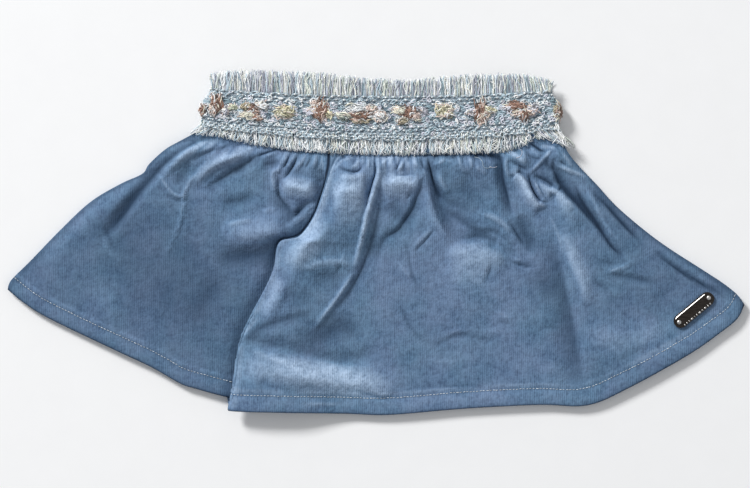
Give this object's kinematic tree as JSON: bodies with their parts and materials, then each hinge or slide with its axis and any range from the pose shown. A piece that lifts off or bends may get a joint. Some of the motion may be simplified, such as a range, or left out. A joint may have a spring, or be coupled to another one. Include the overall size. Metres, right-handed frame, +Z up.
{
  "type": "child's gathered skirt",
  "caption": "Small child's flared needlecord skirt laid flat, gathered onto a fringed woven braid waist, with a lapped front fold and a small bare metal plate at the hem.",
  "frame": {"origin": "centre of the bounding box in plan, on the surface that the skirt lies on", "axes": "+Y towards the waist, +X towards the wearer's left as the front is seen from above, +Z up out of the surface"},
  "size_m": [0.4424, 0.2072, 0.0112],
  "materials": {
    "needlecord": "blue-grey fine-wale cotton corduroy, soft pile, faint sheen",
    "braid_weave": "pale grey-blue loopy woven braid with tufted flowers in brown, peach and yellow",
    "fringe_threads": "loose pale blue, white and cream cut threads",
    "dark_metal": "polished gunmetal, bare face"
  },
  "bodies": {
    "root": {"skirt_front": "needlecord", "skirt_back": "needlecord", "braid_front": "braid_weave", "braid_back": "braid_weave", "fringe_upper_front": "fringe_threads", "fringe_lower_front": "fringe_threads", "fringe_upper_back": "fringe_threads", "fringe_lower_back": "fringe_threads", "metal_plate": "dark_metal", "plate_rivet_left": "dark_metal", "plate_rivet_right": "dark_metal"}
  },
  "joints": []
}
